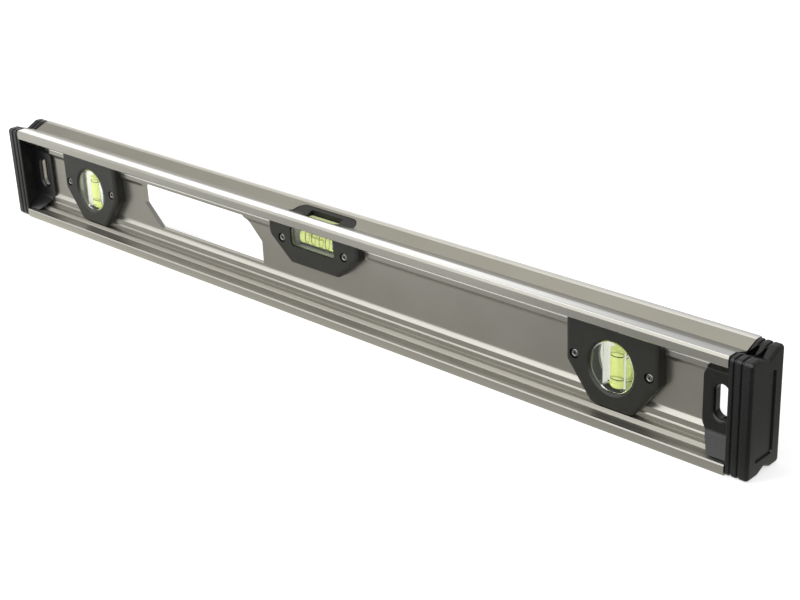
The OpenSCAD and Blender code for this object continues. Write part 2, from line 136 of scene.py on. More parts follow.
# Layers of the recessed panel: distance from the beam's end and inset of its outline.
PANEL_LAYERS = [(13.4, -0.12), (13.0, 0.0), (12.1, 0.16)]
SLOT = {"x": 282.0, "z": 32.5, "w": 7.6, "h": 19.0}
CHEEK_LEN = 20.2
CHEEK_TUCK = 0.7
CHEEK_FACE_Y = 3.6
CHEEK_FOOT_Z = 7.1
# Corners of both cheeks with their radii, seen along the beam.
CHEEK_ACROSS = [
    (-13.4, CHEEK_FOOT_Z, 0.3), (-CHEEK_FACE_Y, 15.4, 4.0), (-CHEEK_FACE_Y, 49.6, 4.0), (-13.4, 57.9, 0.3),
    (13.4, 57.9, 0.3), (CHEEK_FACE_Y, 49.6, 4.0), (CHEEK_FACE_Y, 15.4, 4.0), (13.4, CHEEK_FOOT_Z, 0.3),
]
# The cheek's lower inner corner, seen from the front: distance from its inner edge, height, radius.
CHEEK_CORNER = [(0.0, 19.0, 6.0), (3.2, 13.4, 6.0), (9.2, CHEEK_FOOT_Z, 6.0)]
CHEEK_END_R = 0.1
# How much before the cheek its seat on the beam starts, and how much before its end it stops.
SEAT_LEAD = 1.0
SEAT_STOP = 0.6
# The slot's mouth: growth of the slot and depth under the cheek's face.
MOUTH = [(2.6, -0.25), (2.3, 0.0), (1.5, 0.16), (0.9, 0.42), (0.45, 0.8), (0.12, 1.3), (0.0, 1.9), (0.0, 3.4)]
# The collar round the slot: how much wider than the slot, and its half depth.
COLLAR = 0.8
COLLAR_Y = 1.8
# Half depths of the cuts through the slot and through the collar, and the box that halves the collar.
THROUGH_Y = 5
COLLAR_CUT_Y = 2.5
COLLAR_HALF = {"y": 3, "low": 15, "high": 50}
# A corner that an inset would make sharp keeps this radius.
LEAST_ROUND = 0.3

# Edge radii, and the angles in degrees over which an edge is rounded or stays sharp.
COVER_RADIUS = 0.22
CAP_RADIUS = 0.16
END_BLOCK_RADIUS = 0.3
CENTRE_BLOCK_RADIUS = 0.5
BEAM_RADIUS = 0.12
INSERT_RADIUS = 0.3
SOFT_ANGLE = 40
NODE_SOFT_ANGLE = 24
SHELL_SHARP = 34
VIAL_SHARP = 40
BUBBLE_SHARP = 60
SCREW_SHARP = 30
NODE_SHARP = 32
# The tip of a turned body keeps this radius.
TIP_R = 0.001
# Points closer than this are one point, in metres.
WELD = 2e-6


def link_object(name, mesh):
    """A new object in the scene."""
    obj = bpy.data.objects.new(name, mesh)
    bpy.context.scene.collection.objects.link(obj)
    return obj


def piece(name, bm, material, nodes=()):
    """A finished mesh as a piece of the part, riding on the one body."""
    mesh = bpy.data.meshes.new(name)
    bmesh.ops.recalc_face_normals(bm, faces=bm.faces)
    bm.to_mesh(mesh)
    bm.free()
    obj = link_object(name, mesh)
    mesh.materials.append(material)
    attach(obj, "root")
    if nodes:
        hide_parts(*nodes)
    return obj


def shade(obj, degrees):
    """Smooth shading that keeps edges sharper than the given angle."""
    bm = bmesh.new()
    bm.from_mesh(obj.data)
    for f in bm.faces:
        f.smooth = True
    for e in bm.edges:
        e.smooth = len(e.link_faces) == 2 and e.calc_face_angle(0) < math.radians(degrees)
    bm.to_mesh(obj.data)
    bm.free()


def soften(obj, width, segments=2, degrees=SOFT_ANGLE):
    """A modifier that gives sharp edges a small radius."""
    m = obj.modifiers.new("edge radius", "BEVEL")
    m.width = width * MM
    m.segments = segments
    m.limit_method = "ANGLE"
    m.angle_limit = math.radians(degrees)
    m.use_clamp_overlap = True


def weigh_normals(obj):
    """A modifier that keeps large faces flat in shading next to the small radii."""
    m = obj.modifiers.new("face weights", "WEIGHTED_NORMAL")
    m.keep_sharp = True


def bake_modifiers(obj):
    """Make the modifiers so far part of the mesh."""
    bpy.context.view_layer.update()
    graph = bpy.context.evaluated_depsgraph_get()
    mesh = bpy.data.meshes.new_from_object(obj.evaluated_get(graph))
    old = obj.data
    obj.modifiers.clear()
    obj.data = mesh
    bpy.data.meshes.remove(old)


def turns(steps):
    """Angles round a full circle, in equal steps."""
    return [2 * math.pi * i / steps for i in range(steps)]


def quarter(steps):
    """Angles from zero to a right angle, both included."""
    return [math.pi / 2 * i / steps for i in range(steps + 1)]


def prism(points, start, end, axis="Y"):
    """A closed prism: (x, z) points run along Y, (y, z) points along X, (x, y) points along Z."""
    place = {
        "Y": lambda p, d: (p[0], d, p[1]),
        "X": lambda p, d: (d, p[0], p[1]),
        "Z": lambda p, d: (p[0], p[1], d),
    }[axis]
    loops = [[[c * MM for c in place(p, d)] for p in points] for d in (start, end)]
    return stack(loops, ends_first=True)


def box(lo, hi):
    """A box between two opposite corners."""
    return prism([(lo[0], lo[2]), (hi[0], lo[2]), (hi[0], hi[2]), (lo[0], hi[2])], lo[1], hi[1])


def stack(loops, ends_first=False):
    """A skin over point loops of equal length, in metres, closed at both ends."""
    bm = bmesh.new()
    rings = [[bm.verts.new(p) for p in loop] for loop in loops]
    n = len(rings[0])
    sides = []
    for a, b in zip(rings, rings[1:]):
        sides += [(a[i], a[(i + 1) % n], b[(i + 1) % n], b[i]) for i in range(n)]
    ends = [rings[0], rings[-1]]
    # Booleans and edge radii come out a little differently with another order of faces.
    for corners in ends + sides if ends_first else sides + ends:
        bm.faces.new(corners)
    bmesh.ops.recalc_face_normals(bm, faces=bm.faces)
    return bm


def lathe(profile, origin, axis, steps):
    """A turned body: profile is a list of (radius, distance along the axis)."""
    axis = Vector(axis).normalized()
    side = axis.orthogonal().normalized()
    other = axis.cross(side)
    origin = Vector(origin)
    loops = []
    for r, d in profile:
        r = max(r, TIP_R)
        loops.append([
            (origin + axis * d + (side * math.cos(a) + other * math.sin(a)) * r) * MM
            for a in turns(steps)
        ])
    return stack(loops)


def bowl(r, depth, at, first=0, last=90):
    """Lathe profile of a rounded end that is widest at the distance at, in steps of 10 degrees."""
    angles = [math.radians(a) for a in range(first, last + 1, 10)]
    return [(r * math.sin(a), at - depth * math.cos(a)) for a in angles]


def scratch(bm):
    """A mesh as an object that is dropped again later."""
    mesh = bpy.data.meshes.new("scratch")
    bm.to_mesh(mesh)
    bm.free()
    return link_object("scratch", mesh)


def drop(obj):
    """Remove an object and its mesh."""
    mesh = obj.data
    bpy.data.objects.remove(obj)
    bpy.data.meshes.remove(mesh)


def carve(bm, cutters, operation="DIFFERENCE"):
    """The body in bm after one exact boolean with each cutter."""
    body = scratch(bm)
    tools = [scratch(c) for c in cutters]
    for t in tools:
        m = body.modifiers.new("cut", "BOOLEAN")
        m.operation = operation
        m.object = t
        m.solver = "EXACT"
    bpy.context.view_layer.update()
    graph = bpy.context.evaluated_depsgraph_get()
    out = bmesh.new()
    out.from_mesh(body.evaluated_get(graph).to_mesh())
    body.evaluated_get(graph).to_mesh_clear()
    for obj in [body, *tools]:
        drop(obj)
    bmesh.ops.remove_doubles(out, verts=out.verts, dist=WELD)
    bmesh.ops.dissolve_limit(out, angle_limit=math.radians(0.5), verts=out.verts, edges=out.edges)
    return out


def join(parts):
    """Several bodies as one mesh."""
    out = bmesh.new()
    for bm in parts:
        mesh = bpy.data.meshes.new("join")
        bm.to_mesh(mesh)
        bm.free()
        out.from_mesh(mesh)
        bpy.data.meshes.remove(mesh)
    return out


class Graph:
    """Short calls that add nodes to a node tree and link them."""

    def __init__(self, tree):
        self.nodes = tree.nodes
        self.links = tree.links

    def put(self, target, value):
        if isinstance(value, bpy.types.NodeSocket):
            self.links.new(value, target)
        else:
            target.default_value = value

    def math(self, op, a, b=0.0, clamp=False):
        n = self.nodes.new("ShaderNodeMath")
        n.operation = op
        n.use_clamp = clamp
        self.put(n.inputs[0], a)
        self.put(n.inputs[1], b)
        return n.outputs[0]

    def between(self, value, lo, hi):
        """One where the value lies between lo and hi, else zero."""
        return self.math("MULTIPLY", self.math("GREATER_THAN", value, lo), self.math("LESS_THAN", value, hi))

    def ramp(self, fac, a, b, lo, hi):
        """From a where fac is lo to b where it is hi."""
        n = self.nodes.new("ShaderNodeMapRange")
        n.clamp = True
        self.links.new(fac, n.inputs["Value"])
        n.inputs["From Min"].default_value = lo
        n.inputs["From Max"].default_value = hi
        n.inputs["To Min"].default_value = a
        n.inputs["To Max"].default_value = b
        return n.outputs[0]

    def mix(self, fac, a, b):
        n = self.nodes.new("ShaderNodeMix")
        n.data_type = "RGBA"
        self.put(n.inputs[0], fac)
        self.put(n.inputs[6], a)
        self.put(n.inputs[7], b)
        return n.outputs[2]

    def shine(self, kind, colour, strength):
        """An emission or background shader."""
        n = self.nodes.new(kind)
        self.put(n.inputs[0], colour)
        self.put(n.inputs[1], strength)
        return n.outputs[0]

    def pick(self, fac, a, b):
        """Shader a where fac is zero and shader b where it is one."""
        n = self.nodes.new("ShaderNodeMixShader")
        self.links.new(fac, n.inputs[0])
        self.links.new(a, n.inputs[1])
        self.links.new(b, n.inputs[2])
        return n.outputs[0]

    def rays(self):
        """Outputs that tell one kind of ray from another."""
        return self.nodes.new("ShaderNodeLightPath").outputs


class Look(Graph):
    """A procedural material that reads its detail from the part's own frame, in metres."""

    def __init__(self, name):
        self.mat = bpy.data.materials.new(name)
        self.mat.use_nodes = True
        super().__init__(self.mat.node_tree)
        self.bsdf = self.nodes["Principled BSDF"]
        self.out = self.nodes["Material Output"]
        self.pos = self.nodes.new("ShaderNodeTexCoord").outputs["Object"]

    def set(self, **values):
        for key, value in values.items():
            self.put(self.bsdf.inputs[key.replace("_", " ")], value)

    def axes(self):
        n = self.nodes.new("ShaderNodeSeparateXYZ")
        self.links.new(self.pos, n.inputs[0])
        return n.outputs

    def scaled(self, x, y, z):
        n = self.nodes.new("ShaderNodeMapping")
        self.links.new(self.pos, n.inputs["Vector"])
        n.inputs["Scale"].default_value = (x, y, z)
        return n.outputs[0]

    def noise(self, vector, scale, detail, rough):
        n = self.nodes.new("ShaderNodeTexNoise")
        self.links.new(vector, n.inputs["Vector"])
        n.inputs["Scale"].default_value = scale
        n.inputs["Detail"].default_value = detail
        n.inputs["Roughness"].default_value = rough
        return n.outputs[0]

    def spread(self, noise, a, b):
        """From a to b over the middle of a noise's range."""
        return self.ramp(noise, a, b, 0.3, 0.7)

    def bump(self, height, strength, distance, normal=None):
        n = self.nodes.new("ShaderNodeBump")
        n.inputs["Strength"].default_value = strength
        n.inputs["Distance"].default_value = distance
        self.links.new(height, n.inputs["Height"])
        if normal is not None:
            self.links.new(normal, n.inputs["Normal"])
        return n.outputs[0]

    def from_end_vial(self, x):
        """Distance along the beam from the middle of the nearer end vial."""
        off = self.math("SUBTRACT", self.math("ABSOLUTE", x), END_UNITS["right"] * MM)
        return self.math("ABSOLUTE", off)


def rgb(r, g, b):
    return (r, g, b, 1.0)


WHITE = rgb(1, 1, 1)

# Places that have a finish of their own, and places with painted light or shade, in metres.
TOP_FACE_Z = 0.0649
SOLE_Z = 0.0001
TRAY_Z = (0.0064, 0.0094)
UPPER_LIP_Z = (0.0586, 0.05945)
LOWER_LIP_Z = (0.00555, 0.0064)
LIP_Y = 0.01445
# Where a near-white strip of painted highlight runs along the web.
PAINTED_HIGHLIGHT_Z = (0.0515, 0.0535)
PAINTED_HIGHLIGHT_Y = 0.0042
# Where the hollow's walls behind an end vial get painted light.
BEHIND_VIAL_X = 0.01575
BEHIND_VIAL_Y = 0.0064
SHANK_X = 0.0073
TOP_PAD_Z = 0.0572
# A face is a side of the block where its normal's part along Y is under this.
SIDEWAYS = 0.35


def make_beam_metal():
    """Satin anodised extrusion with milled working faces, a painted highlight and a painted shade."""
    m = Look("beam_metal")
    _, y, z = m.axes()
    depth = m.math("ABSOLUTE", y)
    die_lines = m.noise(m.scaled(3, 1400, 1400), 1.0, 4.0, 0.6)
    fine = m.noise(m.scaled(60, 3000, 3000), 1.0, 2.0, 0.5)
    streaks = m.noise(m.scaled(1.5, 900, 900), 1.0, 3.0, 0.6)
    cloud = m.noise(m.pos, 22.0, 3.0, 0.6)
    base = m.mix(m.spread(cloud, 0, 1), rgb(0.340, 0.332, 0.296), rgb(0.368, 0.360, 0.324))
    base = m.mix(m.ramp(die_lines, 0, 0.05, 0.4, 0.8), base, rgb(0.25, 0.24, 0.21))

    # The tray above the lower lip is streaked and rougher than the rest.
    tray = m.between(z, *TRAY_Z)
    streaked = m.math("MULTIPLY", tray, m.ramp(streaks, 0.1, 0.7, 0.4, 0.62))
    base = m.mix(streaked, base, rgb(0.20, 0.185, 0.155))

    # The lower lip's bevel gets painted shade: a little darker, which dims its highlight. The upper one is
    # milled, as the top and the sole are.
    lip = m.math("GREATER_THAN", depth, LIP_Y)
    base = m.mix(m.math("MULTIPLY", lip, m.between(z, *LOWER_LIP_Z)), base, rgb(0.29, 0.284, 0.262))
    flat = m.math("ADD", m.math("GREATER_THAN", z, TOP_FACE_Z), m.math("LESS_THAN", z, SOLE_Z))
    milled = m.math("ADD", flat, m.math("MULTIPLY", lip, m.between(z, *UPPER_LIP_Z)), clamp=True)
    bright = m.mix(m.spread(fine, 0, 1), rgb(0.66, 0.66, 0.635), rgb(0.76, 0.76, 0.735))

    # A painted highlight: a near-white strip along the top of the web, just under the upper flange.
    painted_highlight = m.math("MULTIPLY", m.between(z, *PAINTED_HIGHLIGHT_Z), m.math("LESS_THAN", depth, PAINTED_HIGHLIGHT_Y))
    change = m.math("ADD", m.math("MULTIPLY", milled, -0.09), m.math("MULTIPLY", tray, 0.13))
    m.set(
        Base_Color=m.mix(painted_highlight, m.mix(milled, base, bright), rgb(0.97, 0.965, 0.93)),
        Metallic=m.math("ADD", 0.87, m.math("MULTIPLY", milled, 0.1)),
        Roughness=m.math("ADD", m.spread(cloud, 0.29, 0.33), change),
        Normal=m.bump(fine, 0.04, 0.00004, m.bump(die_lines, 0.03, 0.00005)),
    )
    return m.mat


def make_plastic(name, dark, light, rough, grain, inner=None):
    """Moulded plastic with a fine spark-eroded grain; the walls behind end vials can get painted light, a
    lighter colour as if lit.
    """
    m = Look(name)
    grain_noise = m.noise(m.pos, 1.0 / grain, 2.0, 0.5)
    cloud = m.noise(m.pos, 90.0, 3.0, 0.6)
    colour = m.mix(m.spread(cloud, 0, 1), dark, light)
    if inner:
        # Painted light: the walls behind an end vial are painted lighter, as if lit.
        x, y, _ = m.axes()
        near = m.math("LESS_THAN", m.from_end_vial(x), BEHIND_VIAL_X)
        deep = m.math("LESS_THAN", m.math("ABSOLUTE", y), BEHIND_VIAL_Y)
        colour = m.mix(m.math("MULTIPLY", near, deep), colour, inner)
    m.set(
        Base_Color=colour,
        Roughness=m.spread(grain_noise, rough - 0.06, rough + 0.08),
        Normal=m.bump(grain_noise, 0.35, 0.00005),
        IOR=1.49,
        Specular_IOR_Level=0.42,
    )
    return m.mat


def make_clear():
    """Clear acrylic: polished front and back, frosted sides painted dark as painted shade, and a top pad
    painted with the liquid's colour as painted light.
    """
    m = Look("clear_acrylic")
    haze = m.noise(m.pos, 260.0, 2.0, 0.5)
    facing = m.nodes.new("ShaderNodeSeparateXYZ")
    m.links.new(m.nodes.new("ShaderNodeNewGeometry").outputs["True Normal"], facing.inputs[0])
    x, _, z = m.axes()
    satin_and_painted_shade = m.math(
        "MULTIPLY",
        m.math("LESS_THAN", m.math("ABSOLUTE", facing.outputs[1]), SIDEWAYS),
        m.math("GREATER_THAN", m.from_end_vial(x), SHANK_X),
    )
    pad = m.math("GREATER_THAN", z, TOP_PAD_Z)
    colour = m.mix(m.spread(haze, 0, 1), rgb(0.93, 0.98, 0.94), rgb(0.97, 1.0, 0.97))
    # Painted shade: the block's frosted sides are painted dark grey-green.
    colour = m.mix(satin_and_painted_shade, colour, rgb(0.17, 0.20, 0.145))
    # Painted light: the top pad is painted with the colour of the liquid that shows through it.
    colour = m.mix(pad, colour, rgb(0.86, 0.92, 0.48))
    cloudy = m.math("MAXIMUM", m.math("MULTIPLY", satin_and_painted_shade, 1.5), pad)
    m.set(
        Base_Color=colour,
        Roughness=m.math("ADD", m.ramp(haze, 0.01, 0.05, 0.35, 0.7), m.math("MULTIPLY", cloudy, 0.3)),
        Normal=m.bump(haze, 0.03, 0.0001),
        Transmission_Weight=m.math("SUBTRACT", 1.0, m.math("MULTIPLY", cloudy, 0.55)),
        IOR=1.49,
    )
    # Plain light passes straight through, so that the vial behind the block is lit.
    through = m.nodes.new("ShaderNodeBsdfTransparent")
    through.inputs[0].default_value = rgb(0.95, 0.98, 0.95)
    rays = m.rays()
    plain = m.math("MAXIMUM", rays["Is Shadow Ray"], rays["Is Diffuse Ray"])
    m.links.new(m.pick(plain, m.bsdf.outputs[0], through.outputs[0]), m.out.inputs["Surface"])
    return m.mat


def make_liquid():
    """Yellow-green vial liquid: see-through, with a little painted glow that stands in for its dye's
    fluorescence.
    """
    m = Look("vial_liquid")
    streak = m.noise(m.scaled(500, 500, 60), 1.0, 2.0, 0.5)
    tint = m.mix(m.spread(streak, 0, 1), rgb(0.80, 0.88, 0.30), rgb(0.88, 0.94, 0.42))
    m.set(
        Base_Color=tint,
        Roughness=m.spread(streak, 0.02, 0.08),
        Transmission_Weight=0.62,
        IOR=1.05,
        # A painted glow: the liquid gives off a little light though it is no lamp.
        Emission_Color=tint,
        Emission_Strength=0.16,
    )
    return m.mat


def make_bubble():
    """The bubble's skin, which bends light the other way than the liquid round it."""
    m = Look("bubble_skin")
    haze = m.noise(m.pos, 900.0, 2.0, 0.5)
    m.set(
        Base_Color=m.mix(haze, rgb(0.93, 0.97, 0.75), rgb(1.0, 1.0, 0.88)),
        Roughness=m.spread(haze, 0.01, 0.04),
        Transmission_Weight=1.0,
        IOR=0.78,
    )
    return m.mat


def make_ink():
    """Dark ink of the graduation rings, a little worn."""
    m = Look("ring_ink")
    wear = m.noise(m.pos, 1500.0, 2.0, 0.5)
    m.set(
        Base_Color=m.mix(wear, rgb(0.03, 0.04, 0.02), rgb(0.08, 0.10, 0.05)),
        Roughness=m.spread(wear, 0.35, 0.55),
    )
    return m.mat


def make_plug():
    """Pale milky plastic of the vial plugs."""
    m = Look("plug_plastic")
    haze = m.noise(m.pos, 600.0, 2.0, 0.5)
    m.set(
        Base_Color=m.mix(haze, rgb(0.66, 0.70, 0.60), rgb(0.78, 0.82, 0.72)),
        Roughness=m.spread(haze, 0.2, 0.35),
        Transmission_Weight=0.4,
        IOR=1.45,
    )
    return m.mat


def make_steel():
    """Dark turned steel of the cover screws."""
    m = Look("screw_steel")
    turned = m.noise(m.scaled(2500, 600, 2500), 1.0, 2.0, 0.5)
    m.set(
        Base_Color=m.mix(turned, rgb(0.17, 0.17, 0.165), rgb(0.31, 0.31, 0.30)),
        Metallic=1.0,
        Roughness=m.spread(turned, 0.22, 0.38),
        Normal=m.bump(turned, 0.1, 0.00002),
    )
    return m.mat


CAP_GRAIN = 0.00035
COVER_GRAIN = 0.00028
BEAM_LOOK = make_beam_metal()
CAP_LOOK = make_plastic(
    "cap_plastic", rgb(0.0060, 0.0068, 0.0064), rgb(0.0090, 0.0100, 0.0094), 0.28, CAP_GRAIN,
)
COVER_LOOK = make_plastic(
    "cover_plastic", rgb(0.013, 0.0133, 0.0105), rgb(0.0195, 0.0198, 0.016), 0.42, COVER_GRAIN,
    # painted light on the walls behind the end vials
    inner=rgb(0.06, 0.068, 0.058),
)
INSERT_LOOK = make_plastic(
    "window_plastic", rgb(0.012, 0.012, 0.011), rgb(0.018, 0.018, 0.0165), 0.42, COVER_GRAIN,
)
CLEAR_LOOK = make_clear()
LIQUID_LOOK = make_liquid()
BUBBLE_LOOK = make_bubble()
INK_LOOK = make_ink()
PLUG_LOOK = make_plug()
STEEL_LOOK = make_steel()


def outline_rays(circles, steps=72):
    """Which circle carries the outline in each direction, so that the outline can shrink evenly."""
    def far(angle):
        x, z = math.cos(angle), math.sin(angle)
        return max(range(len(circles)), key=lambda k: circles[k][0] * x + circles[k][1] * z + circles[k][2])

    rays = []
    for i in range(steps):
        a, b = 2 * math.pi * i / steps, 2 * math.pi * (i + 1) / steps
        ka, kb = far(a), far(b)
        rays.append((ka, a))
        if ka != kb:
            # The direction in which one circle hands over to the next, by halving.
            lo, hi = a, b
            for _ in range(40):
                mid = (lo + hi) / 2
                if far(mid) == ka:
                    lo = mid
                else:
                    hi = mid
            rays.append((ka, lo))
            rays.append((kb, hi))
    return rays


def outline(circles, rays, shrink):
    """The outline round the circles, each made smaller by shrink."""
    pts = []
    for k, a in rays:
        r = circles[k][2] - shrink
        pts.append((circles[k][0] + r * math.cos(a), circles[k][1] + r * math.sin(a)))
    return pts


def section_points(grow):
    """The beam's section as one outline in Y and Z, its inner faces moved out by grow."""
    # The corners from which on the section grows upwards and outwards.
    first_up, first_out = 3, 4
    q = []
    for i, (y, z) in enumerate(SECTION):
        q.append((y - (grow if i >= first_out else 0), z + (grow if i >= first_up else 0)))
    r = q[::-1]
    return q + [(y, BEAM_H - z) for y, z in r] + [(-y, BEAM_H - z) for y, z in q] + [(-y, z) for y, z in r]


def cover_blank(x, spec, side):
    """The cover's outer form, its outline drawn in over the rounded front edge."""
    c = COVER_CORNER
    # The lower corner has a wider radius that still touches the slanted side.
    slant = math.atan2(spec["mid"] - spec["low"] - c, spec["w"] / 2 - spec["side"] - spec["foot"])
    back = spec["wider"] * (1 - math.cos(slant)) / math.sin(slant)
    circles = []
    for s in (-1, 1):
        circles += [
            (x + s * (spec["w"] / 2 - c), COVER_TOP - c, c),
            (x + s * (spec["w"] / 2 - spec["side"]), spec["mid"], spec["side"]),
            (x + s * (spec["foot"] - back), spec["low"] + c + spec["wider"], c + spec["wider"]),
        ]
    rays = outline_rays(circles)
    layers = [(0.0, -(WEB_Y + GAP / 3))]
    for t in quarter(7):
        layers.append((COVER_ROUND * (1 - math.cos(t)), -(COVER_OUT - COVER_FALL * (1 - math.sin(t)))))
    return stack([
        [Vector((px, y * side, pz)) * MM for px, pz in outline(circles, rays, shrink)]
        for shrink, y in layers
    ])


def oval_window(x, side, rim=1.2, over=0.4, steps=96):
    """Cutter of an end cover's window, with a small cone at the front face."""
    w, h = END_WINDOW["w"], END_WINDOW["h"]

    def ring(grow, y):
        rx, rz = w / 2 + grow, h / 2 + grow * h / w
        return [
            Vector((x + rx * math.cos(a), y * side, WINDOW_Z + rz * math.sin(a))) * MM
            for a in turns(steps)
        ]

    front = -COVER_OUT
    return stack([ring(over, front - over), ring(-rim, front + rim), ring(-rim, front + rim + FAR)])


def round_hole(x, z, r, y0, y1, steps=40):
    """Cutter of a round hole along Y."""
    return prism([(x + r * math.cos(a), z + r * math.sin(a)) for a in turns(steps)], y0, y1)


def rounded_rect(x0, x1, z0, z1, r, steps=8):
    """Outline of a rectangle with rounded corners."""
    pts = []
    centres = ((x1 - r, z1 - r, 0), (x0 + r, z1 - r, 90), (x0 + r, z0 + r, 180), (x1 - r, z0 + r, 270))
    for cx, cz, a0 in centres:
        for i in range(steps + 1):
            a = math.radians(a0 + 90 * i / steps)
            pts.append((cx + r * math.cos(a), cz + r * math.sin(a)))
    return pts


def slot_points(x, y, length, width, steps=16):
    """Outline of a slot that runs along X."""
    pts = []
    r = width / 2
    for s, a0 in ((1, -90), (-1, 90)):
        for i in range(steps + 1):
            a = math.radians(a0 + 180 * i / steps)
            pts.append((x + s * (length / 2 - r) + r * math.cos(a), y + r * math.sin(a)))
    return pts


def hollow(x, spec, side):
    """Cutter of the room for a vial block behind a cover's face."""
    y0, y1 = sorted((-HOLLOW_FRONT * side, HOLLOW_BACK * side))
    return box((x - spec["half_w"], y0, spec["low"]), (x + spec["half_w"], y1, spec["high"]))


def plate(x, spec, y0, y1):
    """An upright plate with rounded corners, as the centre vial's window and pads are."""
    w = spec["half_w"]
    return prism(rounded_rect(x - w, x + w, spec["low"], spec["high"], spec["r"]), y0, y1)


def end_openings(x, side):
    """Cutters of an end cover's window and hollow."""
    return [oval_window(x, side), hollow(x, END_HOLLOW, side)]


def centre_openings(x, side):
    """Cutters of a centre cover's window, hollow and top slot."""
    top = slot_points(x, TOP_SLOT["y"], TOP_SLOT["length"], TOP_SLOT["width"])
    return [
        plate(x, CENTRE_WINDOW, *sorted((-FAR * side, CENTRE_WINDOW["back"] * side))),
        hollow(x, CENTRE_HOLLOW, side),
        prism(top, TOP_SLOT["low"], TOP_SLOT["high"], "Z"),
    ]


def screw_holes(x, place, side):
    """Front covers have head sinks and through holes, rear covers have blind holes."""
    dx, z = place
    cutters = []
    for s in (-1, 1):
        if side == 1:
            cutters.append(round_hole(x + s * dx, z, SINK_R, -FAR, -COVER_OUT + SINK_DEPTH))
            cutters.append(round_hole(x + s * dx, z, SCREW_HOLE_R, -FAR, 0))
        else:
            cutters.append(round_hole(x + s * dx, z, SCREW_HOLE_R, 0, BLIND_DEPTH))
    return cutters


def covers(unit, x, spec, screw_place, openings):
    """The front cover, side 1, and the rear cover, side -1, of one vial."""
    for word, side in (("front", 1), ("rear", -1)):
        name = unit + "_" + word + "_cover"
        seat = prism(section_points(GAP / 3), x - SEAT_HALF, x + SEAT_HALF, "X")
        bm = carve(cover_blank(x, spec, side), [seat, *openings(x, side), *screw_holes(x, screw_place, side)])
        obj = piece(name + "_shell", bm, COVER_LOOK, [name])
        soften(obj, COVER_RADIUS)
        bake_modifiers(obj)
        shade(obj, SHELL_SHARP)
        weigh_normals(obj)


for unit, ux in END_UNITS.items():
    covers(unit, ux, END_COVER, END_SCREW, end_openings)
covers("centre", CENTRE_X, CENTRE_COVER, CENTRE_SCREW, centre_openings)


def screw(x, z, turn):
    """A low head with a star socket, and its shank."""
    top = -COVER_OUT + HEAD_SINK
    head = lathe(SCREW_PROFILE, (x, top, z), (0, 1, 0), steps=40)
    socket = []
    for k in range(2 * STAR_POINTS):
        a = math.radians(turn + 180 / STAR_POINTS * k)
        r = STAR_R[k % 2]
        socket.append((x + r * math.cos(a), z + r * math.sin(a)))
    return carve(head, [prism(socket, top + STAR_Y[0], top + STAR_Y[1])])


def screws(name, x, place, turned):
    """The two screws of a cover, their sockets turned by the given angles."""
    bm = join([screw(x + s * place[0], place[1], t) for s, t in zip((-1, 1), turned)])
    obj = piece(name + "_heads", bm, STEEL_LOOK, [name])
    shade(obj, SCREW_SHARP)


screws("left_cover_screws", END_UNITS["left"], END_SCREW, (20, 65))
screws("centre_cover_screws", CENTRE_X, CENTRE_SCREW, (10, 50))
screws("right_cover_screws", END_UNITS["right"], END_SCREW, (35, 5))


def glass(name, bm, radius):
    """A clear block as a piece, with rounded edges."""
    obj = piece(name + "_glass", bm, CLEAR_LOOK, [name])
    soften(obj, radius, 3)
    bake_modifiers(obj)
    shade(obj, VIAL_SHARP)


def oval_pad(x, side):
    """The oval pad that fills one window of an end unit."""
    loops = []
    for grow, y in OVAL_LAYERS:
        rx, rz = OVAL_PAD["rx"] + grow, OVAL_PAD["rz"] + grow
        loops.append([
            Vector((x + rx * math.cos(a), side * y, WINDOW_Z + rz * math.sin(a))) * MM for a in turns(72)
        ])
    return stack(loops)


def end_block(name, x):
    """Clear block: an upright shank between two feet, with a pad in each window."""
    lo, hi = END_VIAL_Z - END_BLOCK_HALF_H, END_VIAL_Z + END_BLOCK_HALF_H
    foot, shank = FOOT_HALF_W, SHANK_HALF_W
    pts = [
        (-foot, lo), (foot, lo), (foot, lo + FOOT_H), (shank, lo + FOOT_H),
        (shank, hi - FOOT_H), (foot, hi - FOOT_H), (foot, hi), (-foot, hi),
        (-foot, hi - FOOT_H), (-shank, hi - FOOT_H), (-shank, lo + FOOT_H), (-foot, lo + FOOT_H),
    ]
    shaft = prism([(x + a, b) for a, b in pts], -BLOCK_Y / 2, BLOCK_Y / 2)
    glass(name, carve(shaft, [oval_pad(x, s) for s in (-1, 1)], "UNION"), END_BLOCK_RADIUS)


def end_liquid(name, x):
    """Liquid with a round lower end and the bubble's hollow under the plug."""
    low = END_VIAL_Z + END_BLOCK_HALF_H - END_VIAL_LEN
    r = LIQUID_R
    profile = bowl(r, LIQUID_END, low + LIQUID_END)
    profile += [(r, low + height) for height in END_WALL]
    profile += [(r - drawn_in, low + height) for drawn_in, height in BUBBLE_HOLLOW]
    profile += [(0.0, low + BUBBLE_HOLLOW_TOP)]
    bm = lathe(profile, (x, 0, 0), (0, 0, 1), steps=64)
    obj = piece(name + "_fill", bm, LIQUID_LOOK, [name])
    shade(obj, VIAL_SHARP)


def centre_block(name):
    """Clear block of the level vial, with a pad in each window and one under the top slot."""
    x, z = CENTRE_X, CENTRE_VIAL_Z
    w, h = CENTRE_BLOCK["half_w"], CENTRE_BLOCK["half_h"]
    pads = [plate(x, CENTRE_PAD, *sorted((s * PAD_ROOT, s * PAD_FACE))) for s in (-1, 1)]
    pads.append(box(
        (x - TOP_PAD["half_w"], TOP_PAD["front"], TOP_PAD["low"]),
        (x + TOP_PAD["half_w"], TOP_PAD["back"], TOP_PAD["high"]),
    ))
    body = box((x - w, -BLOCK_Y / 2, z - h), (x + w, BLOCK_Y / 2, z + h))
    glass(name, carve(body, pads, "UNION"), CENTRE_BLOCK_RADIUS)


